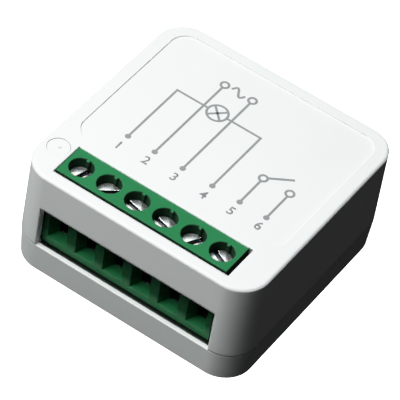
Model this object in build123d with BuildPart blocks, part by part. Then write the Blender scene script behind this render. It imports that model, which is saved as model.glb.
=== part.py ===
"""Mini in-wall smart switch: a snap-together plastic case round a six-way screw terminal block,
a power relay, a small mains supply and a radio board.

Millimetres. X runs along the terminals, -Y is the wire side, +Z is up.
The origin is the centre of the bottom face.
"""
import os
from math import atan, degrees, radians, sin

from build123d import *

os.makedirs("parts", exist_ok=True)

# Terminal block
ways = 6
pitch = 5.08
end_wall = 0.11          # extra length past the last half pitch
front_web = 2.15         # front wall, from the funnel mouth to the clamp's chamber
back_web = 0.6
throat_l = 0.15          # straight part of the wire entry
tower_setback = 1.44     # front shoulder, from the front face to the raised top
tower_back_step = 0.54
shoulder_h = 1.2
shoulder_room = 0.65     # below the cover's ceiling
well_r = 2.0             # screwdriver well
tooth_w = 0.5            # tooth at the back of the well, which keeps the screw in
tooth_d = 0.4
tooth_h = 1.2
mouth_w = 3.5            # wire funnel at the front face
mouth_h = 5.4
mouth_sill = 1.9         # from the board up to the funnel's front sill
throat_w = 1.9
throat_h = 3.0
throat_rise = 0.2        # the funnel floor climbs by this much
chamber_gap = 0.12       # clamp to chamber wall
ledge_t = 0.5            # the screw's head bears on this
ledge_gap = 0.05
ledge_hole_gap = 0.15    # round the screw's shank

# Clamp, screw and contact of one way
clamp_w = 4.0
clamp_d = 4.0
clamp_wall = 0.4
clamp_floor_t = 0.8
clamp_nut_t = 1.75
clamp_opening = 3.1      # open clamp's floor to the contact bar
clamp_lift = 2.8         # full travel
clamp_step = 0.05        # open clamp's floor below the throat's
bar_t = 0.8
bar_w = 2.2
bar_to_nut = 0.1         # open clamp's nut above the bar
leg_gap = 0.19           # clamp to the contact's upright leg
leg_fit = 0.05
pin_w = 1.0
screw_r = 1.45
thread_gap = 0.05
tip_gap = 0.15           # the screw's tip above the bar
head_r = 1.85
head_h = 1.85
slot_w = 0.75
slot_d = 0.75
slot_angles = (74.0, 41.0, -13.0, -16.0, 63.0, -29.0)

# Relay
relay_skin = 0.7
relay_base_t = 1.6
relay_foot = 0.3
relay_fit = 0.05
relay_side = 0.55        # coil to the case's side
iron_t = 0.9
yoke_w = 6.0
coil_l = 12.6
coil_flange = 7.6
coil_flange_t = 0.8
coil_foot = 1.2
tube_r = 1.9
winding_r = 3.3
core_r = 1.3
pole_w = 5.0
pole_t = 0.6
pole_gap = 0.4
armature_swing = 3.0     # degrees
hinge_gap = 0.1
blade_t = 0.3
blade_w = 3.6
blade_l = 10.05
blade_root = 2.5
contact_r = 1.2
contact_t = 0.5
contact_clear = 0.04     # left between the closed contacts
fixed_t = 0.6
fixed_gap = 0.75         # moving blade's tip to the fixed post
stack_gap = 0.1

# Parts of the mains supply, the filter and the radio
cap_r = 4.0
cap_h = 11.5
out_cap_r = 3.15
out_cap_h = 10.5
choke_r = 3.1
choke_h = 7.0
varistor_r = 3.7
varistor_t = 3.4
fuse_r = 1.5
fuse_l = 8.0
fuse_lift = 0.5
core_w = 10.2
core_h = 10.6
core_t = 4.7
core_leg = 1.3
bobbin_w = 9.0
bobbin_foot_t = 1.5
bobbin_wall = 0.6
radio_w = 20.0
radio_h = 11.6
radio_t = 1.0
radio_tab_w = 4.0
shield_w = 11.0
shield_h = 8.6
shield_t = 1.8
rectifier_size = (4.8, 4.0, 1.5)
led_size = (2.0, 1.25, 0.8)
part_gap = 0.45          # between neighbouring parts on the board
lead_w = 0.6
lead_gap = 0.12
lead_tail = 1.2          # below the board
lead_pitch = 2.5         # half the spacing of the wide radial parts' leads
small_pitch = 1.25       # the same on the small ones

# Key switch and button
key_w = 2.9
key_l = 6.0
key_h = 3.5
key_side = 0.35
plunger_r = 0.7
plunger_h = 1.5
plunger_gap = 0.08
button_travel = 0.3
button_sunk = 0.1
button_hole_r = 1.85
button_gap = 0.08
button_web = 0.45        # left between the button's hole and the block's cut-out
button_y_shift = 1.03    # behind the screw axis
flange_l = 4.8
flange_t = 0.8
flange_gap = 0.08
stem_d = 2.0
pip_r = 0.32
pip_h = 0.16

# Case
wall = 1.25
top_t = 1.5
floor_t = 1.5
corner_r = 5.0
parting_z = 5.7
cover_draft = 0.175      # each side, over the cover's height
base_draft = 0.25        # each side, over the base's height
top_edge = 0.3
bottom_edge = 0.4
seam_chamfer = 0.1
rim_w = 0.8              # outer rim where cover and base meet
lip_gap = 0.05
lip_h = 1.2
snap_l = 4.0
snap_h = 0.7
snap_proud = 0.25
snap_gap = 0.08
snap_spacing = 18.0
block_to_wall = 0.18
flush_drop = 0.2         # block's top below the top face
cut_left = 0.05          # top cut-out, clearances round the block
cut_right = 0.75
cut_front = 0.7
cut_back = 0.02
opening_h = 7.93         # front opening, up from the seam
opening_left = 0.1
opening_right = 0.83
sill_w = 0.75            # rim left in front of the terminal block
sill_notch = 1.0
recess_depth = 0.25
recess_side = 2.45       # margins of the label recess
recess_back = 2.3
recess_front = 1.95      # behind the cut-out
recess_r = 3.0

# Circuit board
board_t = 1.6
board_gap = 0.35
under_board = 2.1
free_bay = 4.5           # board right of the terminal block
relay_gap = 0.9
rear_zone = 20.26        # board behind the relay
head_room = 1.05         # above the tallest part
post_w = 3.0
peg_post_w = 3.0
peg_r = 0.8
peg_gap = 0.1
peg_h = 1.4
hold_w = 2.0
hold_gap = 0.05
post_inset = 2.4
peg_inset = 1.6
slit_w = 1.0             # routed slit between mains and low voltage
slit_l = 9.0

# Sizes worked out from those above
relay_h = (relay_foot + relay_base_t + coil_foot + coil_flange + stack_gap + iron_t
           + stack_gap + relay_skin)
relay_d = coil_flange + 2 * (relay_side + relay_skin)
relay_l = (2 * relay_skin + 2 * stack_gap + 2 * iron_t + 2 * relay_fit + coil_l + pole_t
           + pole_gap + blade_l + fixed_gap + fixed_t)
block_l = ways * pitch + 2 * end_wall
front_to_screw = front_web + chamber_gap + clamp_d / 2
block_d = front_to_screw + clamp_d / 2 + leg_gap + bar_t + leg_fit + back_web
key_bay = key_w + 2 * key_side
board_w = key_bay + block_l + free_bay
board_d = block_d - (board_gap - block_to_wall) + relay_gap + relay_d + rear_zone
inner_w = board_w + 2 * board_gap
inner_d = board_d + 2 * board_gap
body_w = inner_w + 2 * wall
body_d = inner_d + 2 * wall

# Levels
board_z = floor_t + under_board
board_top = board_z + board_t
tallest = max(relay_h, cap_h, out_cap_h, core_h + bobbin_foot_t, radio_h, choke_h)
ceiling_z = board_top + tallest + head_room
body_h = ceiling_z + top_t
block_top = body_h - flush_drop
mouth_z = board_top + mouth_sill
throat_z = mouth_z + throat_rise
clamp_floor_z = throat_z - clamp_step
clamp_z = clamp_floor_z - clamp_floor_t
bar_top = clamp_floor_z + clamp_opening + bar_t
window_top = bar_top + bar_to_nut
clamp_top = window_top + clamp_nut_t
chamber_top = clamp_top + clamp_lift + stack_gap
head_bottom = chamber_top + ledge_t + ledge_gap
head_top = head_bottom + head_h
cover_h = body_h - parting_z
cover_taper = degrees(atan(cover_draft / cover_h))
base_taper = degrees(atan(base_draft / parting_z))

# Places of the terminal block
block_left = -board_w / 2 + key_bay
block_right = block_left + block_l
block_front = -inner_d / 2 + block_to_wall
block_back = block_front + block_d
screw_y = block_front + front_to_screw
tower_front = block_front + tower_setback
tower_back = block_back - tower_back_step
way_x = [block_left + end_wall + (n + 0.5) * pitch for n in range(ways)]
leg_front = screw_y + clamp_d / 2 + leg_gap
leg_back = leg_front + bar_t
cut_x = (block_left - cut_left, block_right + cut_right)
cut_y = (tower_front - cut_front, tower_back + cut_back)
opening_x = (block_left - opening_left, block_right + opening_right)
recess_y = (cut_y[1] + recess_front, body_d / 2 - recess_back)

# Places inside the relay
relay_y = block_back + relay_gap + relay_d / 2
relay_left = -relay_l / 2
relay_floor = board_top + relay_foot + relay_base_t
relay_top = board_top + relay_h
yoke_x = relay_left + relay_skin + stack_gap
coil_x = yoke_x + iron_t + relay_fit
coil_end = coil_x + coil_l
pole_x = coil_end + relay_fit
armature_x = pole_x + pole_t + pole_gap
leg_z = relay_top - relay_skin - stack_gap - iron_t
pivot_z = leg_z + iron_t / 2
coil_z = leg_z - stack_gap - coil_flange / 2
blade_x = armature_x + iron_t
blade_z = leg_z - blade_t
contact_x = blade_x + blade_l - contact_r - 0.2
contact_drop = (contact_x + contact_r - armature_x) * sin(radians(armature_swing))
fixed_top = blade_z - contact_t - contact_drop - contact_clear
fixed_x = blade_x + blade_l + fixed_gap

# Places of the other parts on the board
key_x = -board_w / 2 + key_bay / 2
button_x = cut_x[0] - button_web - button_hole_r
button_y = screw_y + button_y_shift
key_top = board_top + key_h
plunger_top = key_top + plunger_h
led_y = button_y + key_l / 2 + part_gap + led_size[1]
rear_front = relay_y + relay_d / 2 + part_gap
cap_y = rear_front + cap_r
cap_x = [-board_w / 2 + (n + 1) * part_gap + (2 * n + 1) * cap_r for n in range(2)]
out_cap_x = cap_x[1] + cap_r + part_gap + out_cap_r
out_cap_y = rear_front + out_cap_r
trafo_x = board_w / 2 - 2 * part_gap - core_w / 2
trafo_y = rear_front + bobbin_w / 2
row_y = cap_y + cap_r + part_gap + choke_r
varistor_x = -board_w / 2 + 2 * part_gap + varistor_r
choke_x = varistor_x + varistor_r + part_gap + choke_r
fuse_x = choke_x + choke_r + 3 * part_gap + fuse_l / 2
hold_x = board_w / 2 - post_inset
hold_y = board_d / 2 - post_inset
peg_x = board_w / 2 - peg_inset
radio_x = -hold_x + hold_w / 2 + part_gap + radio_w / 2
radio_y = board_d / 2 - 1.5
rectifier_y = trafo_y + bobbin_w / 2 + 2 * part_gap + rectifier_size[1] / 2

# Leads that go down through the board
contact_pins = [(x, (leg_front + leg_back) / 2) for x in way_x]
yoke_pins = [(yoke_x + iron_t / 2, relay_y)]
coil_pins = [(coil_x + coil_flange_t / 2, relay_y + s * (coil_flange / 2 - lead_w)) for s in (-1, 1)]
fixed_pins = [(fixed_x + fixed_t / 2, relay_y)]
cap_leads = [[(x, cap_y - lead_pitch), (x, cap_y + lead_pitch)] for x in cap_x]
out_cap_leads = [(out_cap_x, out_cap_y - small_pitch), (out_cap_x, out_cap_y + small_pitch)]
choke_leads = [(choke_x - small_pitch, row_y), (choke_x + small_pitch, row_y)]
varistor_leads = [(varistor_x - lead_pitch, row_y), (varistor_x + lead_pitch, row_y)]
fuse_leads = [(fuse_x + s * (fuse_l / 2 + lead_w), row_y) for s in (-1, 1)]
trafo_leads = [
    (trafo_x + sx * k * (bobbin_w / 2 - lead_w), trafo_y + sy * (bobbin_w / 2 - lead_w))
    for sx in (-1, 1) for sy in (-1, 1) for k in (1 / 3, 1)
]
small_leads = (yoke_pins + coil_pins + fixed_pins + cap_leads[0] + cap_leads[1] + out_cap_leads
               + choke_leads + varistor_leads + fuse_leads + trafo_leads)


def save(piece, name):
    """Label the finished piece and write it under its own name."""
    piece.part.label = name
    export_step(piece.part, f"parts/{name}.step")


def block(x, y, z, mode=Mode.ADD):
    """A box between pairs of limits, added to the part being built or cut from it."""
    with Locations(((x[0] + x[1]) / 2, (y[0] + y[1]) / 2, (z[0] + z[1]) / 2)):
        Box(x[1] - x[0], y[1] - y[0], z[1] - z[0], mode=mode)


def around(centre, size):
    """The pair of limits of a size centred on a place."""
    return centre - size / 2, centre + size / 2


def drafted(w, d, r, start, height, taper, end_edge=0):
    """A drafted block with round upright corners, its far end bevelled."""
    with BuildPart() as body:
        with BuildSketch(Plane.XY.offset(start)):
            Rectangle(w, d)
        extrude(amount=height, taper=taper)
        fillet([e for e in body.edges() if abs(e.tangent_at(0.5).Z) > 0.9], r)
        if end_edge:
            far = 0 if height < 0 else -1
            chamfer(body.faces().sort_by(Axis.Z)[far].edges(), end_edge)
    return body.part


def leads(spots, top, width=lead_w):
    """Square leads from a part down through the board."""
    for x, y in spots:
        block(around(x, width), around(y, width), (board_z - lead_tail, top))


def lead_holes(spots, width=lead_w):
    """The board's holes for those leads."""
    hole_w = width + 2 * lead_gap
    for x, y in spots:
        block(around(x, hole_w), around(y, hole_w), (board_z, board_top), mode=Mode.SUBTRACT)


# Snaps: two on each side of the case
snap_y = (-snap_spacing / 2, snap_spacing / 2)
snap_z = parting_z + lip_h / 2
lip_x = body_w / 2 - rim_w - lip_gap

# Top cover: a drafted shell, open below, with the terminal block's two openings
with BuildPart() as top_cover:
    add(drafted(body_w, body_d, corner_r, parting_z, cover_h, cover_taper, top_edge))
    add(drafted(inner_w, inner_d, corner_r - wall, parting_z, ceiling_z - parting_z, cover_taper),
        mode=Mode.SUBTRACT)
    with BuildSketch(Plane.XY.offset(parting_z)):
        RectangleRounded(body_w - 2 * rim_w, body_d - 2 * rim_w, corner_r - rim_w)
    extrude(amount=lip_h + lip_gap, mode=Mode.SUBTRACT)
    for side in (-1, 1):
        groove_x = sorted((side * (lip_x - snap_gap), side * (lip_x + snap_proud + snap_gap)))
        for y in snap_y:
            block(groove_x, around(y, snap_l + 2 * snap_gap), around(snap_z, snap_h + 2 * snap_gap),
                  mode=Mode.SUBTRACT)
    # Posts that hold the board down, none over the key switch
    with BuildSketch(Plane.XY.offset(ceiling_z)):
        with Locations((-hold_x, hold_y), (hold_x, hold_y), (hold_x, -hold_y)):
            Rectangle(hold_w, hold_w)
    extrude(amount=hold_gap + board_top - ceiling_z)
    # Label recess, the terminal block's cut-out and the button's hole
    with BuildSketch(Plane.XY.offset(body_h)):
        with Locations((0, sum(recess_y) / 2)):
            RectangleRounded(body_w - 2 * recess_side, recess_y[1] - recess_y[0], recess_r)
    extrude(amount=-recess_depth, mode=Mode.SUBTRACT)
    with BuildSketch(Plane.XY.offset(body_h)):
        with Locations((sum(cut_x) / 2, sum(cut_y) / 2)):
            Rectangle(cut_x[1] - cut_x[0], cut_y[1] - cut_y[0])
        with Locations((button_x, button_y)):
            Circle(button_hole_r)
    extrude(amount=-top_t, mode=Mode.SUBTRACT)
    # Front opening, from the seam up
    block(opening_x, (-body_d / 2 - 1, -inner_d / 2 + wall), (parting_z, parting_z + opening_h),
          mode=Mode.SUBTRACT)
save(top_cover, "top_cover")

# Bottom shell: floor, drafted walls, a lip with snaps, and posts under the board
with BuildPart() as bottom_shell:
    add(drafted(body_w, body_d, corner_r, parting_z, -parting_z, base_taper, bottom_edge))
    chamfer(bottom_shell.faces().sort_by(Axis.Z)[-1].edges(), seam_chamfer)
    with BuildSketch(Plane.XY.offset(parting_z)):
        RectangleRounded(2 * lip_x, body_d - 2 * (rim_w + lip_gap), corner_r - rim_w - lip_gap)
    extrude(amount=lip_h)
    with BuildSketch(Plane.XY.offset(parting_z + lip_h)):
        RectangleRounded(inner_w, inner_d, corner_r - wall)
    extrude(amount=-lip_h, mode=Mode.SUBTRACT)
    with BuildSketch(Plane.XY.offset(parting_z)):
        RectangleRounded(inner_w - 2 * base_draft, inner_d - 2 * base_draft,
                         corner_r - wall - base_draft)
    extrude(amount=floor_t - parting_z, mode=Mode.SUBTRACT)
    # The lip stops at the front opening, where the wall behind the sill is let down
    block((opening_x[0] - lip_gap, opening_x[1] + lip_gap),
          (-body_d / 2 + sill_w, -inner_d / 2 + wall), (parting_z - sill_notch, parting_z + 2 * lip_h),
          mode=Mode.SUBTRACT)
    for side in (-1, 1):
        for y in snap_y:
            with BuildSketch(Plane.XZ.offset(-y)):
                with BuildLine():
                    Polyline(
                        (side * (lip_x - lip_gap), snap_z - snap_h / 2),
                        (side * (lip_x + snap_proud), snap_z - snap_h / 2),
                        (side * (lip_x - lip_gap), snap_z + snap_h / 2),
                        close=True,
                    )
                make_face()
            extrude(amount=snap_l / 2, both=True)
    with BuildSketch(Plane.XY.offset(floor_t)):
        with GridLocations(2 * hold_x, 2 * hold_y, 2, 2):
            Rectangle(post_w, post_w)
        with Locations((-peg_x, relay_y), (peg_x, relay_y)):
            Rectangle(peg_post_w, peg_post_w)
    extrude(amount=under_board)
    with BuildSketch(Plane.XY.offset(board_z)):
        with Locations((-peg_x, relay_y), (peg_x, relay_y)):
            Circle(peg_r)
    extrude(amount=peg_h)
save(bottom_shell, "bottom_shell")

# Circuit board with its lead holes, peg holes, radio slots and isolation slit
with BuildPart() as main_board:
    with BuildSketch(Plane.XY.offset(board_z)):
        RectangleRounded(board_w, board_d, corner_r - wall - board_gap)
    extrude(amount=board_t)
    lead_holes(small_leads)
    lead_holes(contact_pins, pin_w)
    with BuildSketch(Plane.XY.offset(board_top)):
        with Locations((-peg_x, relay_y), (peg_x, relay_y)):
            Circle(peg_r + peg_gap)
        with Locations(*[(radio_x + s * radio_w / 4, radio_y) for s in (-1, 1)]):
            Rectangle(radio_tab_w + 2 * lead_gap, radio_t + 2 * lead_gap)
        with Locations((trafo_x, trafo_y)):
            Rectangle(slit_w, slit_l)
    extrude(amount=-board_t, mode=Mode.SUBTRACT)
save(main_board, "main_board")

# Terminal block housing: one profile along X, then a well, a funnel and a chamber for each way
with BuildPart() as terminal_housing:
    with BuildSketch(Plane.YZ.offset(block_left)):
        with BuildLine():
            Polyline(
                (block_front, board_top),
                (block_front, ceiling_z - shoulder_room - shoulder_h),
                (tower_front, ceiling_z - shoulder_room),
                (tower_front, block_top),
                (tower_back, block_top),
                (tower_back, ceiling_z - shoulder_room + tower_back_step),
                (block_back, ceiling_z - shoulder_room),
                (block_back, board_top),
                close=True,
            )
        make_face()
    extrude(amount=block_l)
    for x in way_x:
        block(around(x, clamp_w + 2 * chamber_gap), (block_front + front_web, leg_back + leg_fit),
              (board_top, chamber_top), mode=Mode.SUBTRACT)
        with BuildSketch(Plane((x, screw_y, chamber_top))):
            Circle(screw_r + ledge_hole_gap)
        extrude(amount=ledge_t, mode=Mode.SUBTRACT)
        with BuildSketch(Plane((x, screw_y, chamber_top + ledge_t))):
            Circle(well_r)
        extrude(amount=block_top - chamber_top - ledge_t, mode=Mode.SUBTRACT)
        block(around(x, tooth_w), (screw_y + well_r - tooth_d, screw_y + well_r + tooth_d),
              (block_top - tooth_h, block_top))
        with Locations((x, block_front, mouth_z)):
            Wedge(mouth_w, front_web - throat_l, mouth_h,
                  (mouth_w - throat_w) / 2, throat_rise, (mouth_w + throat_w) / 2,
                  throat_rise + throat_h, align=(Align.CENTER, Align.MIN, Align.MIN),
                  mode=Mode.SUBTRACT)
        block(around(x, throat_w), (block_front + front_web - throat_l, screw_y),
              (throat_z, throat_z + throat_h), mode=Mode.SUBTRACT)
save(terminal_housing, "terminal_housing")

# One screw, clamp and contact for each way
for n, x in enumerate(way_x):
    with BuildPart() as screw:
        with BuildSketch(Plane((x, screw_y, bar_top + tip_gap))):
            Circle(screw_r)
        extrude(amount=head_bottom - bar_top - tip_gap)
        with BuildSketch(Plane((x, screw_y, head_bottom))):
            Circle(head_r)
        extrude(amount=head_h)
        with BuildSketch(Plane((x, screw_y, head_top))):
            Rectangle(2 * head_r + 1, slot_w, rotation=slot_angles[n % len(slot_angles)])
        extrude(amount=-slot_d, mode=Mode.SUBTRACT)
    save(screw, f"terminal_screw_{n + 1}")

    with BuildPart() as clamp:
        with BuildSketch(Plane.XZ.offset(-screw_y)):
            with Locations((x, (clamp_z + clamp_top) / 2)):
                Rectangle(clamp_w, clamp_top - clamp_z)
            with Locations((x, (clamp_floor_z + window_top) / 2)):
                Rectangle(clamp_w - 2 * clamp_wall, window_top - clamp_floor_z, mode=Mode.SUBTRACT)
        extrude(amount=clamp_d / 2, both=True)
        with BuildSketch(Plane((x, screw_y, clamp_top))):
            Circle(screw_r + thread_gap)
        extrude(amount=-clamp_nut_t, mode=Mode.SUBTRACT)
    save(clamp, f"wire_clamp_{n + 1}")

    with BuildPart() as contact:
        block(around(x, bar_w), (screw_y - clamp_d / 2, leg_back), (bar_top - bar_t, bar_top))
        block(around(x, bar_w), (leg_front, leg_back), (board_top, bar_top - bar_t))
        leads([contact_pins[n]], board_top, min(pin_w, bar_t))
        chamfer(contact.edges().filter_by(Axis.X).group_by(Axis.Z)[-1].sort_by(Axis.Y)[-1], bar_t / 2)
    save(contact, f"terminal_contact_{n + 1}")

# Relay: base, case, coil on its bobbin, yoke with core, armature with its contact blade
with BuildPart() as relay_base:
    block((relay_left + relay_skin + relay_fit, -relay_left - relay_skin - relay_fit),
          around(relay_y, relay_d - 2 * (relay_skin + relay_fit)),
          (board_top + relay_foot, relay_floor))
    with BuildSketch(Plane.XY.offset(relay_floor)):
        with Locations(*(yoke_pins + coil_pins + fixed_pins)):
            Rectangle(lead_w + 2 * relay_fit, lead_w + 2 * relay_fit)
    extrude(amount=-relay_base_t, mode=Mode.SUBTRACT)
save(relay_base, "relay_base")

with BuildPart() as relay_case:
    block((relay_left, -relay_left), around(relay_y, relay_d), (board_top, relay_top))
    chamfer(relay_case.edges().filter_by(Axis.Z), relay_skin / 2)
    block((relay_left + relay_skin, -relay_left - relay_skin),
          around(relay_y, relay_d - 2 * relay_skin), (board_top, relay_top - relay_skin),
          mode=Mode.SUBTRACT)
save(relay_case, "relay_case")

with BuildPart() as relay_bobbin:
    for x in (coil_x, coil_end - coil_flange_t):
        block((x, x + coil_flange_t), around(relay_y, coil_flange), around(coil_z, coil_flange))
        block((x, x + coil_flange_t), around(relay_y, coil_flange),
              (relay_floor, coil_z - coil_flange / 2))
    with BuildSketch(Plane.YZ.offset(coil_x)):
        with Locations((relay_y, coil_z)):
            Circle(tube_r)
    extrude(amount=coil_l)
    with BuildSketch(Plane.YZ.offset(coil_x)):
        with Locations((relay_y, coil_z)):
            Circle(core_r + relay_fit)
    extrude(amount=coil_l, mode=Mode.SUBTRACT)
    leads(coil_pins, relay_floor)
save(relay_bobbin, "relay_bobbin")

with BuildPart() as relay_winding:
    with BuildSketch(Plane.YZ.offset(coil_x + coil_flange_t)):
        with Locations((relay_y, coil_z)):
            Circle(winding_r)
            Circle(tube_r, mode=Mode.SUBTRACT)
    extrude(amount=coil_l - 2 * coil_flange_t)
save(relay_winding, "relay_winding")

with BuildPart() as relay_yoke:
    block((yoke_x, yoke_x + iron_t), around(relay_y, yoke_w), (relay_floor, leg_z + iron_t))
    block((yoke_x, armature_x - hinge_gap), around(relay_y, yoke_w), (leg_z, leg_z + iron_t))
    with BuildSketch(Plane.YZ.offset(yoke_x + iron_t)):
        with Locations((relay_y, coil_z)):
            Circle(core_r)
    extrude(amount=pole_x - yoke_x - iron_t)
    block((pole_x, pole_x + pole_t), around(relay_y, pole_w), around(coil_z, pole_w))
    leads(yoke_pins, relay_floor)
save(relay_yoke, "relay_yoke")

with BuildPart() as relay_armature:
    block((armature_x, armature_x + iron_t), around(relay_y, yoke_w),
          (coil_z - pole_w / 2 - stack_gap, leg_z + iron_t - stack_gap))
save(relay_armature, "relay_armature")

with BuildPart() as relay_contact_blade:
    block((blade_x, blade_x + blade_t), around(relay_y, blade_w), (blade_z - blade_root, blade_z))
    block((blade_x, blade_x + blade_l), around(relay_y, blade_w), (blade_z, blade_z + blade_t))
    with BuildSketch(Plane((contact_x, relay_y, blade_z))):
        Circle(contact_r)
    extrude(amount=-contact_t)
save(relay_contact_blade, "relay_contact_blade")

with BuildPart() as relay_fixed_contact:
    block((fixed_x, fixed_x + fixed_t), around(relay_y, blade_w), (relay_floor, fixed_top - contact_t))
    block((contact_x - contact_r, fixed_x), around(relay_y, blade_w),
          (fixed_top - contact_t - fixed_t, fixed_top - contact_t))
    with BuildSketch(Plane((contact_x, relay_y, fixed_top - contact_t))):
        Circle(contact_r)
    extrude(amount=contact_t)
    leads(fixed_pins, relay_floor)
save(relay_fixed_contact, "relay_fixed_contact")

# Key switch, its plunger, and the button cap above them
with BuildPart() as key_switch_body:
    block(around(key_x, key_w), around(button_y, key_l), (board_top, key_top))
    with BuildSketch(Plane((key_x, button_y, key_top))):
        Circle(plunger_r + plunger_gap)
    extrude(amount=-2 * plunger_r, mode=Mode.SUBTRACT)
save(key_switch_body, "key_switch_body")

with BuildPart() as key_switch_plunger:
    with BuildSketch(Plane((key_x, button_y, plunger_top))):
        Circle(plunger_r)
    extrude(amount=-(plunger_h + 2 * plunger_r - button_travel - plunger_gap))
save(key_switch_plunger, "key_switch_plunger")

with BuildPart() as button_cap:
    stem_x = (button_x - stem_d / 2, key_x + plunger_r)
    flange_top = ceiling_z - flange_gap
    head_floor = ceiling_z + button_travel + flange_gap
    block(stem_x, around(button_y, stem_d), (plunger_top, head_floor))
    block((stem_x[0], stem_x[1]), around(button_y, flange_l), (flange_top - flange_t, flange_top))
    with BuildSketch(Plane((button_x, button_y, head_floor))):
        Circle(button_hole_r - button_gap)
    extrude(amount=body_h - button_sunk - head_floor)
    with BuildSketch(Plane((button_x, button_y, body_h - button_sunk))):
        Circle(pip_r)
    extrude(amount=pip_h)
save(button_cap, "button_cap")

# Mains supply: two reservoir capacitors, output capacitor, choke, varistor, fuse resistor
for n, x in enumerate(cap_x):
    with BuildPart() as capacitor:
        with BuildSketch(Plane((x, cap_y, board_top))):
            Circle(cap_r)
        extrude(amount=cap_h)
        leads(cap_leads[n], board_top)
    save(capacitor, f"mains_capacitor_{n + 1}")

with BuildPart() as output_capacitor:
    with BuildSketch(Plane((out_cap_x, out_cap_y, board_top))):
        Circle(out_cap_r)
    extrude(amount=out_cap_h)
    leads(out_cap_leads, board_top)
save(output_capacitor, "output_capacitor")

with BuildPart() as filter_choke:
    with BuildSketch(Plane((choke_x, row_y, board_top))):
        Circle(choke_r)
    extrude(amount=choke_h)
    leads(choke_leads, board_top)
save(filter_choke, "filter_choke")

with BuildPart() as surge_varistor:
    with BuildSketch(Plane.XZ.offset(-row_y)):
        with Locations((varistor_x, board_top + varistor_r)):
            Circle(varistor_r)
    extrude(amount=varistor_t / 2, both=True)
    leads(varistor_leads, board_top + varistor_r)
save(surge_varistor, "surge_varistor")

with BuildPart() as fuse_resistor:
    fuse_z = board_top + fuse_lift + fuse_r
    with BuildSketch(Plane.YZ.offset(fuse_x - fuse_l / 2)):
        with Locations((row_y, fuse_z)):
            Circle(fuse_r)
    extrude(amount=fuse_l)
    block(around(fuse_x, fuse_l + 3 * lead_w), around(row_y, lead_w), around(fuse_z, lead_w))
    leads(fuse_leads, fuse_z)
save(fuse_resistor, "fuse_resistor")

# Transformer: two-window core round a wound bobbin
core_z = board_top + bobbin_foot_t
window_w = (core_w - 4 * core_leg) / 2
window_z = (core_z + core_leg, core_z + core_h - core_leg)
with BuildPart() as transformer_core:
    block(around(trafo_x, core_w), around(trafo_y, core_t), (core_z, core_z + core_h))
    for s in (-1, 1):
        block(around(trafo_x + s * (core_leg + window_w / 2), window_w), around(trafo_y, core_t),
              window_z, mode=Mode.SUBTRACT)
save(transformer_core, "transformer_core")

with BuildPart() as transformer_bobbin:
    block(around(trafo_x, bobbin_w), around(trafo_y, bobbin_w), (board_top, core_z))
    wound_w = 2 * core_leg + 2 * relay_fit
    tube_out = wound_w + 2 * bobbin_wall
    block(around(trafo_x, tube_out), around(trafo_y, core_t + 2 * (relay_fit + bobbin_wall)),
          (window_z[0] + relay_fit, window_z[1] - relay_fit))
    for z in (window_z[0] + relay_fit, window_z[1] - relay_fit - bobbin_wall):
        block(around(trafo_x, 2 * core_leg + 2 * window_w - 2 * relay_fit),
              around(trafo_y, bobbin_w), (z, z + bobbin_wall))
    for s in (-1, 1):
        y = trafo_y + s * (bobbin_w / 2 - bobbin_wall / 2)
        block(around(trafo_x, bobbin_w / 2), around(y, bobbin_wall),
              (core_z, window_z[0] + relay_fit))
    block(around(trafo_x, wound_w), around(trafo_y, core_t + 2 * relay_fit),
          (core_z, window_z[1]), mode=Mode.SUBTRACT)
    leads(trafo_leads, board_top)
save(transformer_bobbin, "transformer_bobbin")

with BuildPart() as transformer_winding:
    wound_z = (window_z[0] + relay_fit + bobbin_wall, window_z[1] - relay_fit - bobbin_wall)
    block(around(trafo_x, 2 * core_leg + 2 * window_w - 4 * relay_fit),
          around(trafo_y, bobbin_w - 2 * bobbin_wall), wound_z)
    chamfer(transformer_winding.edges().filter_by(Axis.Z), (window_w - 2 * relay_fit) / 2)
    block(around(trafo_x, tube_out), around(trafo_y, core_t + 2 * (relay_fit + bobbin_wall)),
          wound_z, mode=Mode.SUBTRACT)
save(transformer_winding, "transformer_winding")

# Small parts that lie flat on the board
with BuildPart() as bridge_rectifier:
    block(around(trafo_x, rectifier_size[0]), around(rectifier_y, rectifier_size[1]),
          (board_top, board_top + rectifier_size[2]))
save(bridge_rectifier, "bridge_rectifier")

with BuildPart() as status_led:
    block(around(key_x, led_size[0]), around(led_y, led_size[1]), (board_top, board_top + led_size[2]))
save(status_led, "status_led")

# Radio board, standing in two slots, with its shield can
with BuildPart() as radio_board:
    block(around(radio_x, radio_w), around(radio_y, radio_t), (board_top, board_top + radio_h))
    for s in (-1, 1):
        block(around(radio_x + s * radio_w / 4, radio_tab_w), around(radio_y, radio_t),
              (board_z, board_top))
save(radio_board, "radio_board")

with BuildPart() as radio_shield:
    shield_back = radio_y - radio_t / 2
    block(around(radio_x, shield_w), (shield_back - shield_t, shield_back),
          (board_top + part_gap, board_top + part_gap + shield_h))
save(radio_shield, "radio_shield")
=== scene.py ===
"""Looks of the in-wall switch module: materials, print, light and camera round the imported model."""
import math

import bmesh
import bpy
from mathutils import Matrix, Vector


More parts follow.
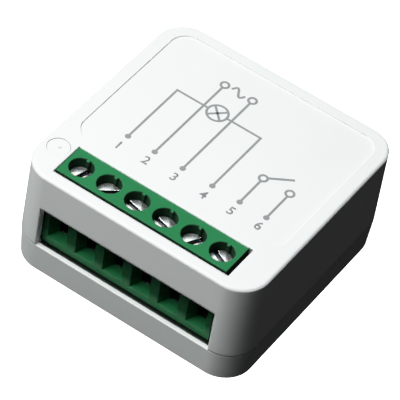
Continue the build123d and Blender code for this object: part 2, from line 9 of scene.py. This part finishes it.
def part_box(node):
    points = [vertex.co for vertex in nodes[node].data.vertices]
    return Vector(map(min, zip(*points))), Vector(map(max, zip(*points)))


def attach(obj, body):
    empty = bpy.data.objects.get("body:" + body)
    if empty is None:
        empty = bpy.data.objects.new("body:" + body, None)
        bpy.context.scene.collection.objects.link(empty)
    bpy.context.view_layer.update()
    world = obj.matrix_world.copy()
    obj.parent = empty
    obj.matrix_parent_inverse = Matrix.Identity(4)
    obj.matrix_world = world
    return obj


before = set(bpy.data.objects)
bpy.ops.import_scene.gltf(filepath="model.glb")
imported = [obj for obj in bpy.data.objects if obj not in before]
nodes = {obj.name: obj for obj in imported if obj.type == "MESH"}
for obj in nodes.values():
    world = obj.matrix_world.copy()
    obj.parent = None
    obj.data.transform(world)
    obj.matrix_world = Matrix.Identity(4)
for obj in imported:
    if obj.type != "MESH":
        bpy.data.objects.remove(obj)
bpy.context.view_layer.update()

MM = 0.001
WAYS = range(1, 7)


# Places, from the frame where it gives them

def middle(node):
    """The middle of a node's box."""
    low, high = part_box(node)
    return [(a + b) / 2 for a, b in zip(low, high)]


way_x = [middle(f"terminal_screw_{n}")[0] for n in WAYS]
way_pitch = 5.08 * MM
screw_y = middle("terminal_screw_1")[1]
head_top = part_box("terminal_screw_1")[1][2]
head_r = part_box("terminal_screw_1")[1][0] - way_x[0]
button_x, button_y, _ = middle("button_cap")
button_hole_r = 2.0 * MM
block_right, block_back, block_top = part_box("terminal_housing")[1]
block_gap = 0.52 * MM
window_back = block_back - block_gap
funnel_floor = 7.35 * MM
sill_z = 5.7 * MM
case_right, case_back, top_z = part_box("top_cover")[1]
label_z = top_z - 0.25 * MM
label_right = case_right - 1.4 * MM
label_front = window_back + 0.9 * MM
label_back = case_back - 1.2 * MM


# Shader nodes

def feed(tree, inlet, term):
    """Links an input to a socket, or sets it to a number or an opaque colour."""
    if isinstance(term, bpy.types.NodeSocket):
        tree.links.new(term, inlet)
    elif isinstance(term, tuple):
        inlet.default_value = (*term, 1)
    else:
        inlet.default_value = term


def feed_all(tree, node, feeds):
    """Feeds inputs of a node, each by its number or name."""
    for key, term in feeds.items():
        feed(tree, node.inputs[key], term)


def add(tree, kind, feeds, **settings):
    """A node of a kind, with its settings and with its inputs fed."""
    made = tree.nodes.new("ShaderNode" + kind)
    for key, value in settings.items():
        setattr(made, key, value)
    feed_all(tree, made, feeds)
    return made


def calc(tree, operation, *terms):
    """Arithmetic on sockets and plain numbers."""
    return add(tree, "Math", dict(enumerate(terms)), operation=operation).outputs[0]


def place(tree):
    """The place on the object, in metres."""
    return add(tree, "TexCoord", {}).outputs["Object"]


def ramp(tree, value, start, end, low=0.0, high=1.0):
    """Goes from low to high while a value goes from start to end."""
    return add(tree, "MapRange", dict(enumerate((value, start, end, low, high)))).outputs[0]


def fade(tree, mask, factor):
    """1 where a mask is 0, and a factor where it is 1."""
    return ramp(tree, mask, 0.0, 1.0, 1.0, factor)


def noise(tree, where, per_mm, detail=3.0, rough=0.55):
    """Noise with a grain of so many per millimetre, from 0 to 1."""
    feeds = {"Vector": where, "Scale": per_mm / MM, "Detail": detail, "Roughness": rough}
    return add(tree, "TexNoise", feeds).outputs[0]


def span(tree, value, low, high):
    """Spreads noise, which mostly stays between 0.3 and 0.7, over a range of its own."""
    return ramp(tree, value, 0.3, 0.7, low, high)


def bands(tree, where, axis, period_mm):
    """Sine bands along an axis; at scale 1 the texture repeats every 0.314 m."""
    scale = 0.314 / (period_mm * MM)
    return add(tree, "TexWave", {"Vector": where, "Scale": scale},
               wave_type="BANDS", bands_direction=axis, wave_profile="SIN")


def tint(tree, factor, a, b):
    """Goes from colour a to colour b while a factor goes from 0 to 1."""
    return add(tree, "Mix", {0: factor, 6: a, 7: b}, data_type="RGBA").outputs[2]


def shade(colour, k):
    """A colour k times as bright."""
    return tuple(v * k for v in colour)


def cloudy(tree, clouds, colour, darkest, lightest):
    """A colour that noise takes from a darker to a lighter shade."""
    return tint(tree, span(tree, clouds, 0.0, 1.0), shade(colour, darkest), shade(colour, lightest))


def soft_edge(tree, radius_mm):
    """Normals that round the moulded or tumbled edges to a small radius."""
    return add(tree, "Bevel", {"Radius": radius_mm * MM}, samples=12).outputs[0]


def bump(tree, height, depth_mm, strength, under=None):
    """Normals bent by a relief of a depth, over other normals where there are any."""
    made = add(tree, "Bump", {"Height": height, "Distance": depth_mm * MM, "Strength": strength})
    if under is not None:
        feed(tree, made.inputs["Normal"], under)
    return made.outputs[0]


def in_box(tree, low, high, soft=0.02 * MM):
    """1 at places inside a box and 0 outside it, with sides a little softened."""
    split = add(tree, "SeparateXYZ", {0: place(tree)})
    inside = 1.0
    for axis in range(3):
        along = split.outputs[axis]
        past_low = ramp(tree, along, low[axis] - soft, low[axis] + soft)
        short_of_high = ramp(tree, along, high[axis] + soft, high[axis] - soft)
        for side in (past_low, short_of_high):
            inside = calc(tree, "MULTIPLY", inside, side)
    return inside


# Materials

def material(name):
    """A new material with a Principled shader; returns the material, its tree and the shader."""
    mat = bpy.data.materials.new(name)
    mat.use_nodes = True
    tree = mat.node_tree
    tree.nodes.clear()
    out = tree.nodes.new("ShaderNodeOutputMaterial")
    shader = tree.nodes.new("ShaderNodeBsdfPrincipled")
    tree.links.new(shader.outputs[0], out.inputs["Surface"])
    return mat, tree, shader


def plastic(name, colour, rough, grain=9.0, depth=0.006, spread=0.03, coat=0.0, edge=0.08, gloss=0.5):
    """Moulded plastic: fine spark-eroded grain, faint flow clouds and small changes of gloss."""
    mat, tree, shader = material(name)
    where = place(tree)
    clouds = noise(tree, where, per_mm=0.12, detail=2.0)
    fine = noise(tree, where, grain, detail=4.0, rough=0.65)
    feed_all(tree, shader, {
        "Base Color": cloudy(tree, clouds, colour, 1 - spread, 1 + spread),
        "Roughness": span(tree, fine, *rough),
        "Normal": bump(tree, fine, depth, strength=0.6, under=soft_edge(tree, edge)),
        "IOR": 1.5,
        "Specular IOR Level": gloss,
    })
    if coat:
        feed_all(tree, shader, {"Coat Weight": coat, "Coat Roughness": 0.15})
    return mat


def metal(name, colour, rough=(0.22, 0.4)):
    """Plated metal with a fine grain and cloudy tarnish."""
    mat, tree, shader = material(name)
    where = place(tree)
    fine = noise(tree, where, per_mm=5.0, detail=4.0, rough=0.6)
    clouds = noise(tree, where, per_mm=0.5)
    feed_all(tree, shader, {
        "Base Color": cloudy(tree, clouds, colour, 0.94, 1.06),
        "Roughness": span(tree, fine, *rough),
        "Normal": bump(tree, fine, depth_mm=0.004, strength=0.5, under=soft_edge(tree, 0.05)),
        "Metallic": 1.0,
    })
    return mat


def wound(name, colour, wire_mm, axis):
    """Enamelled wire in close turns along an axis."""
    mat, tree, shader = material(name)
    where = place(tree)
    wave = bands(tree, where, axis, wire_mm)
    feed_all(tree, wave, {"Distortion": 0.6, "Detail": 1.0})
    turns = wave.outputs[1]
    # The colour falls to about a third in the grooves between turns: painted shade.
    feed_all(tree, shader, {
        "Base Color": tint(tree, turns, shade(colour, 0.35), colour),
        "Roughness": span(tree, noise(tree, where, per_mm=2.0), 0.2, 0.35),
        "Normal": bump(tree, turns, wire_mm / 2, strength=0.9),
        "Metallic": 0.5,
    })
    return mat


def laminate(name, colour):
    """Glass-fibre board under solder mask, with a faint weave."""
    mat, tree, shader = material(name)
    where = place(tree)
    fine = noise(tree, where, per_mm=3.0)
    threads = [bands(tree, where, axis, period_mm=0.5).outputs[1] for axis in ("X", "Y")]
    weave = calc(tree, "MULTIPLY", *threads)
    feed_all(tree, shader, {
        "Base Color": tint(tree, weave, shade(colour, 0.85), shade(colour, 1.15)),
        "Roughness": span(tree, fine, 0.25, 0.4),
        "Normal": bump(tree, weave, depth_mm=0.01, strength=0.4),
    })
    return mat


def ink(name, colour):
    """Pad-printed ink: thin, slightly uneven in tone and duller than the plastic."""
    mat, tree, shader = material(name)
    fine = noise(tree, place(tree), per_mm=6.0, detail=4.0, rough=0.7)
    feed_all(tree, shader, {
        "Base Color": cloudy(tree, fine, colour, 0.9, 1.12),
        "Roughness": span(tree, fine, 0.5, 0.65),
        "Normal": bump(tree, fine, depth_mm=0.004, strength=0.5),
    })
    return mat


def turned_screw():
    """Nickel-plated screw head: slightly dished, with lathe rings round its own axis, darker in the slot."""
    ring_step, ring_wander = 0.16 * MM, 0.08 * MM
    slot_grey, nickel_dark, nickel_light = (0.12, 0.13, 0.14), (0.80, 0.79, 0.77), (0.92, 0.92, 0.92)
    mat, tree, shader = material("screw_nickel")
    where = place(tree)
    split = add(tree, "SeparateXYZ", {0: where})
    from_first = calc(tree, "SUBTRACT", split.outputs[0], way_x[0])
    x = calc(tree, "WRAP", from_first, way_pitch / 2, -way_pitch / 2)
    y = calc(tree, "SUBTRACT", split.outputs[1], screw_y)
    flat = add(tree, "CombineXYZ", {0: x, 1: y}).outputs[0]
    uneven = noise(tree, where, per_mm=1.5, detail=2.0)
    radius = add(tree, "VectorMath", {0: flat}, operation="LENGTH").outputs[1]
    radius = calc(tree, "ADD", radius, calc(tree, "MULTIPLY", uneven, ring_wander))
    rings = calc(tree, "SINE", calc(tree, "MULTIPLY", radius, 2 * math.pi / ring_step))
    dish = calc(tree, "POWER", calc(tree, "DIVIDE", radius, head_r), 2.0)
    face = ramp(tree, split.outputs[2], head_top - 0.16 * MM, head_top - 0.1 * MM)
    plated = tint(tree, span(tree, uneven, 0.0, 1.0), nickel_dark, nickel_light)
    fine = noise(tree, where, per_mm=14.0)
    relief = bump(tree, dish, depth_mm=0.16, strength=1.0, under=soft_edge(tree, 0.09))
    relief = bump(tree, rings, depth_mm=0.0015, strength=0.4, under=relief)
    feed_all(tree, shader, {
        "Base Color": tint(tree, face, slot_grey, plated),
        "Roughness": span(tree, fine, 0.14, 0.24),
        "Normal": bump(tree, fine, depth_mm=0.002, strength=0.3, under=relief),
        "Metallic": 1.0,
    })
    return mat


# Changes to a material in some places

def opened(mat):
    """A material's tree and its Principled shader."""
    tree = mat.node_tree
    return tree, next(n for n in tree.nodes if n.type == "BSDF_PRINCIPLED")


def dim(tree, shader, factor):
    """Multiplies a shader's own colour by a factor."""
    base = shader.inputs["Base Color"]
    own = base.links[0].from_socket
    feed(tree, base, add(tree, "VectorMath", {0: own, 3: factor}, operation="SCALE").outputs[0])


def dusty_recesses(mat):
    """Paints shade on the walls of the wells and funnels, and near-black shadow on the foot and right end of
    the block beside the case; these places are also made fully rough.
    """
    tree, shader = opened(mat)
    split = add(tree, "SeparateXYZ", {0: place(tree)})
    across, height = split.outputs[0], split.outputs[2]
    below_top = ramp(tree, height, block_top - 0.05 * MM, block_top - 0.35 * MM)
    in_funnel = ramp(tree, height, funnel_floor, funnel_floor + 1.4 * MM)
    in_well = ramp(tree, height, block_top - 5.5 * MM, block_top - 5.0 * MM)
    at_foot = ramp(tree, height, sill_z + 0.28 * MM, sill_z + 0.22 * MM)
    at_end = ramp(tree, across, block_right - 0.06 * MM, block_right - 0.02 * MM)
    recess = calc(tree, "MULTIPLY", below_top, in_funnel)
    well = calc(tree, "MULTIPLY", below_top, in_well)
    gap = calc(tree, "MAXIMUM", at_foot, at_end)
    # Painted shade: half as bright on the walls, about a sixth in the wells, and near black at the foot and
    # right end.
    keep = calc(tree, "MULTIPLY", fade(tree, recess, 0.5), fade(tree, well, 0.35))
    dim(tree, shader, calc(tree, "MULTIPLY", keep, fade(tree, gap, 0.02)))
    rough = shader.inputs["Roughness"]
    fine = rough.links[0].from_socket
    feed(tree, rough, calc(tree, "MAXIMUM", fine, calc(tree, "MAXIMUM", recess, gap)))


def shadow_gap(mat, low, high):
    """Darkens the cover's wall in a box, where the gap beside the terminal block is deep and narrow."""
    tree, shader = opened(mat)
    dim(tree, shader, fade(tree, in_box(tree, low, high), 0.3))


def crisp_edges(mat, boxes, radius_mm=0.05):
    """Gives the edges inside any of the boxes a small radius, while the others stay soft."""
    tree = mat.node_tree
    rounded = next(n for n in tree.nodes if n.type == "BEVEL").inputs["Radius"]
    inside = 0.0
    for low, high in boxes:
        inside = calc(tree, "MAXIMUM", inside, in_box(tree, low, high))
    feed(tree, rounded, ramp(tree, inside, 0.0, 1.0, rounded.default_value, radius_mm * MM))


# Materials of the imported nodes

white = plastic("cover_white", (0.79, 0.80, 0.795), rough=(0.36, 0.48), grain=7.0, spread=0.01, edge=0.5)
skin = 0.1 * MM
window_right = block_right + 0.8 * MM
shadow_gap(white, (block_right - skin, window_back - skin, sill_z),
           (window_right, window_back + skin, top_z - 0.04 * MM))
below_label, above_top = label_z - 0.15 * MM, top_z + skin
label_area = ((-label_right, label_front, below_label), (label_right, label_back, above_top))
button_area = ((button_x - button_hole_r, button_y - button_hole_r, below_label),
               (button_x + button_hole_r, button_y + button_hole_r, above_top))
crisp_edges(white, (label_area, button_area))
white_base = plastic("base_white", (0.825, 0.84, 0.83), rough=(0.38, 0.5), grain=7.0, spread=0.012, edge=0.2)
white_button = plastic("button_white", (0.80, 0.80, 0.79), rough=(0.3, 0.42), depth=0.004, spread=0.012)
green = plastic("terminal_green", (0.0165, 0.142, 0.05), rough=(0.3, 0.42), grain=8.0, depth=0.004,
                spread=0.05, edge=0.12, gloss=0.2)
# Painted shade in the block's wells and funnels, and painted shadow at its foot and right end.
dusty_recesses(green)
black = plastic("relay_black", (0.012, 0.012, 0.013), rough=(0.4, 0.55), spread=0.1)
cream = plastic("bobbin_cream", (0.62, 0.58, 0.48), rough=(0.4, 0.55))
chip = plastic("chip_black", (0.015, 0.015, 0.016), rough=(0.5, 0.65), grain=14.0)
sleeve = plastic("sleeve_black", (0.02, 0.022, 0.03), rough=(0.15, 0.25), coat=0.6)
blue = plastic("varistor_blue", (0.03, 0.11, 0.38), rough=(0.2, 0.3), coat=0.5)
stone = plastic("resistor_green", (0.12, 0.26, 0.17), rough=(0.5, 0.7), grain=4.0, spread=0.08)
ferrite = plastic("ferrite_grey", (0.035, 0.034, 0.036), rough=(0.55, 0.7), grain=5.0, depth=0.015,
                  spread=0.1)
clear = plastic("led_clear", (0.75, 0.72, 0.5), rough=(0.08, 0.14), coat=1.0)
steel = metal("clamp_zinc", (0.30, 0.30, 0.31), rough=(0.35, 0.5))
tin = metal("contact_tin", (0.34, 0.33, 0.31), rough=(0.35, 0.5))
iron = metal("relay_iron", (0.55, 0.54, 0.52), rough=(0.35, 0.5))
bronze = metal("blade_bronze", (0.62, 0.36, 0.2))
can = metal("shield_tin", (0.75, 0.75, 0.73), rough=(0.25, 0.4))
nickel = turned_screw()
board = laminate("board_green", (0.012, 0.06, 0.028))
copper_x = wound("relay_copper", (0.55, 0.2, 0.07), wire_mm=0.12, axis="X")
copper_z = wound("transformer_copper", (0.5, 0.22, 0.06), wire_mm=0.2, axis="Z")

dress = {
    "top_cover": white, "bottom_shell": white_base, "button_cap": white_button,
    "terminal_housing": green, "main_board": board, "radio_board": board,
    "relay_base": black, "relay_case": black, "relay_bobbin": cream, "relay_winding": copper_x,
    "relay_yoke": iron, "relay_armature": iron, "relay_contact_blade": bronze,
    "relay_fixed_contact": bronze, "radio_shield": can, "transformer_core": ferrite,
    "transformer_bobbin": cream, "transformer_winding": copper_z, "mains_capacitor_1": sleeve,
    "mains_capacitor_2": sleeve, "output_capacitor": sleeve, "filter_choke": ferrite,
    "surge_varistor": blue, "fuse_resistor": stone, "bridge_rectifier": chip, "status_led": clear,
    "key_switch_body": black, "key_switch_plunger": cream,
}
for n in WAYS:
    dress[f"terminal_screw_{n}"] = nickel
    dress[f"wire_clamp_{n}"] = steel
    dress[f"terminal_contact_{n}"] = tin
for name, mat in dress.items():
    slots = nodes[name].material_slots
    for s in slots:
        s.material = mat
    if not slots:
        nodes[name].data.materials.append(mat)


# Print on the label face, in millimetres from the middle of the case

COAT = 0.01 * MM
MITRE_LIMIT = 0.3
grey_ink = ink("label_ink", (0.205, 0.21, 0.215))


def show(name, data):
    """A new object in the scene."""
    made = bpy.data.objects.new(name, data)
    bpy.context.scene.collection.objects.link(made)
    return made


def mesh_of(bm, name):
    """A mesh of a finished bmesh, which is freed."""
    mesh = bpy.data.meshes.new(name)
    bm.to_mesh(mesh)
    bm.free()
    return mesh


def finish_print(bm, name, coats=1):
    """Turns flat faces at z 0 into thin ink on the label face, in one or more coats."""
    up = bmesh.ops.extrude_face_region(bm, geom=bm.faces[:])
    raised = [g for g in up["geom"] if isinstance(g, bmesh.types.BMVert)]
    bmesh.ops.translate(bm, vec=(0, 0, coats * COAT), verts=raised)
    bmesh.ops.recalc_face_normals(bm, faces=bm.faces[:])
    mesh = mesh_of(bm, name)
    mesh.transform(Matrix.Translation((0, 0, label_z)))
    mesh.materials.append(grey_ink)
    printed = show(name, mesh)
    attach(printed, "case")


def stroke(bm, points, width=0.4):
    """A line of even width through points, with mitred corners and square ends."""
    pts = [Vector(p) for p in points]
    left, right = [], []
    for i, p in enumerate(pts):
        before = (p - pts[i - 1]).normalized() if i else None
        after = (pts[i + 1] - p).normalized() if i + 1 < len(pts) else None
        a, b = before or after, after or before
        along = (a + b).normalized()
        side = Vector((-along.y, along.x))
        reach = width / 2 / max(MITRE_LIMIT, side.dot(Vector((-a.y, a.x))))
        left.append(p + side * reach)
        right.append(p - side * reach)
    near = [bm.verts.new((p.x * MM, p.y * MM, 0)) for p in left]
    far = [bm.verts.new((p.x * MM, p.y * MM, 0)) for p in right]
    for i in range(len(pts) - 1):
        bm.faces.new((near[i], far[i], far[i + 1], near[i + 1]))


def circle(centre, radius, steps=40):
    """Points round a circle, the first one also at the end."""
    turns = [2 * math.pi * i / steps for i in range(steps + 1)]
    return [(centre[0] + radius * math.cos(a), centre[1] + radius * math.sin(a)) for a in turns]


def dot(bm, centre, radius):
    """A filled circle."""
    bm.faces.new([bm.verts.new((x * MM, y * MM, 0)) for x, y in circle(centre, radius, steps=24)[:-1]])


def numeral(number, x, y):
    """A number with its middle at a place."""
    name = f"numeral_{number}"
    curve = bpy.data.curves.new(name, "FONT")
    curve.body = str(number)
    curve.size = 2.3 * MM
    curve.align_x = "CENTER"
    curve.align_y = "CENTER"
    curve.offset = 0.05 * MM
    text = show(name, curve)
    text.location = (x * MM, y * MM, 0)
    bpy.context.view_layer.update()
    flat = bpy.data.meshes.new_from_object(text)
    flat.transform(text.matrix_world)
    bm = bmesh.new()
    bm.from_mesh(flat)
    bpy.data.objects.remove(text)
    bmesh.ops.remove_doubles(bm, verts=bm.verts[:], dist=0.0001 * MM)
    finish_print(bm, name)


# A plain wiring picture: supply, lamp and wall switch with the ordinary signs
numeral_at = [(-11.71, -7.99), (-6.79, -7.84), (-1.66, -7.84), (3.72, -7.93), (8.65, -7.88), (13.43, -7.68)]
term = [x for x, _ in numeral_at]
foot_y, switch_y, lamp_y, supply_y = -5.5, 0.9, 7.6, 13.4
lamp_x, lamp_r, post_r, dot_r = -4.25, 1.7, 0.65, 0.5
lever_from, lever_to, lever_width = (term[4] + 0.5, 1.35), (term[5] - 0.9, 3.7), 0.46
wave_x, wave_long, wave_high, wave_steps = -5.5, 2.5, 0.8, 25

lines = bmesh.new()
stroke(lines, [(term[0], foot_y), (term[0], lamp_y), (lamp_x - lamp_r, lamp_y)])
stroke(lines, [(lamp_x + lamp_r, lamp_y), (term[3], lamp_y), (term[3], foot_y)])
for way in (-1, 1):
    reach = lamp_r / math.sqrt(2)
    stroke(lines, [(lamp_x - reach, lamp_y - way * reach), (lamp_x + reach, lamp_y + way * reach)])
finish_print(lines, "wiring_lines")

leads = bmesh.new()
for x in term[1:3]:
    stroke(leads, [(x, foot_y), (x, supply_y - post_r)])
for x in term[4:6]:
    stroke(leads, [(x, foot_y), (x, switch_y - post_r)])
stroke(leads, [lever_from, lever_to], lever_width)
stroke(leads, [(wave_x + wave_long * i / wave_steps,
                supply_y + wave_high * math.sin(2 * math.pi * i / wave_steps))
               for i in range(wave_steps + 1)])
finish_print(leads, "wiring_feeds", coats=2)

rings = bmesh.new()
stroke(rings, circle((lamp_x, lamp_y), lamp_r))
for x in term[1:3]:
    stroke(rings, circle((x, supply_y), post_r))
for x in term[4:6]:
    stroke(rings, circle((x, switch_y), post_r))
for x in term:
    dot(rings, (x, foot_y), dot_r)
finish_print(rings, "wiring_rings", coats=3)

# The numbers of the terminals
for n, (x, y) in zip(WAYS, numeral_at):
    numeral(n, x, y)


# Floor and room

FLOOR_HALF = 3.0
FLOOR_DROP = 0.02 * MM

bm = bmesh.new()
bmesh.ops.create_grid(bm, x_segments=8, y_segments=8, size=FLOOR_HALF)
floor = show("floor", mesh_of(bm, "floor"))
floor.location.z = -FLOOR_DROP
pale, tree, shader = material("floor_pale")
clouds = noise(tree, place(tree), per_mm=0.01, detail=2.0)
feed_all(tree, shader, {
    "Base Color": tint(tree, span(tree, clouds, 0.0, 1.0), (0.30, 0.30, 0.30), (0.32, 0.32, 0.32)),
    "Roughness": 0.9,
    "Specular IOR Level": 0.0,
    "Emission Color": (1.0, 1.0, 1.0),
    "Emission Strength": 3.6,
})
floor.data.materials.append(pale)
floor.visible_diffuse = False
floor.visible_glossy = False

world = bpy.data.worlds.new("studio")
bpy.context.scene.world = world
world.use_nodes = True
sky = world.node_tree
height = add(sky, "SeparateXYZ", {0: add(sky, "TexCoord", {}).outputs["Generated"]}).outputs[2]
room = tint(sky, ramp(sky, height, -0.15, 0.35), (0.005, 0.005, 0.005), (0.028, 0.028, 0.028))
feed_all(sky, sky.nodes["Background"], {"Color": room, "Strength": 1.0})


# Lamps, each in a direction from the middle of the case

def area(name, towards, distance, size, watts, colour):
    """A soft square light that looks at the object."""
    data = bpy.data.lights.new(name, "AREA")
    data.shape = "SQUARE"
    data.size = size
    data.energy = watts
    data.color = colour
    lamp = show(name, data)
    way = Vector(towards).normalized()
    lamp.location = Vector((0, 0, 10 * MM)) + way * distance
    lamp.rotation_euler = way.to_track_quat("Z", "Y").to_euler()
    return lamp


area("key", (-0.4, -0.33, 1.0), distance=0.32, size=0.2, watts=1.53, colour=(0.955, 1.0, 0.985))
area("front_low", (-0.35, -1.0, 0.27), distance=0.6, size=0.25, watts=0.3, colour=(0.93, 1.0, 0.98))
area("ceiling", (0.0, 0.0, 1.0), distance=0.6, size=0.22, watts=1.2, colour=(0.97, 0.98, 1.0))
screws = bpy.data.collections.new("screws")
for n in WAYS:
    screws.objects.link(nodes[f"terminal_screw_{n}"])
warm = area("screw_glint_warm", (-0.322, 0.642, 0.695), distance=0.6, size=0.25, watts=0.33,
            colour=(1.0, 0.92, 0.8))
cool = area("screw_glint_cool", (-0.196, 0.391, 0.899), distance=0.6, size=0.3, watts=0.4,
            colour=(0.8, 0.95, 1.0))
for lamp in (warm, cool):
    lamp.light_linking.receiver_collection = screws


# Camera, fitted to the photograph

PHOTO_PX = 400
FOCAL_PX = 2965.8
SENSOR_MM = 36
eye_at = Vector((139.517, -278.89, 336.733)) * MM
looks_at = Vector((-0.344, -0.548, 10.0)) * MM
roll = math.radians(10.668)

camera = bpy.data.cameras.new("camera")
camera.lens = FOCAL_PX / PHOTO_PX * SENSOR_MM
camera.sensor_width = SENSOR_MM
camera.clip_start = 10 * MM
eye = show("camera", camera)
level = (looks_at - eye_at).to_track_quat("-Z", "Y").to_matrix().to_4x4()
eye.matrix_world = Matrix.Translation(eye_at) @ level @ Matrix.Rotation(roll, 4, "Z")
bpy.context.scene.camera = eye

# Highlights roll off gently, as in the photograph, so that the white top keeps its tone
WHITEST = 4.0
view = bpy.context.scene.view_settings
view.view_transform = "Standard"
view.use_curve_mapping = True
tone = view.curve_mapping
tone.clip_max_x = WHITEST
curve = tone.curves[3].points
curve[1].location = (WHITEST, 1.0)
for lit, shown in [(0.4, 0.4), (0.8, 0.68), (1.1, 0.86), (1.3, 0.95), (1.5, 0.987), (1.9, 0.998)]:
    curve.new(lit, shown)
tone.update()
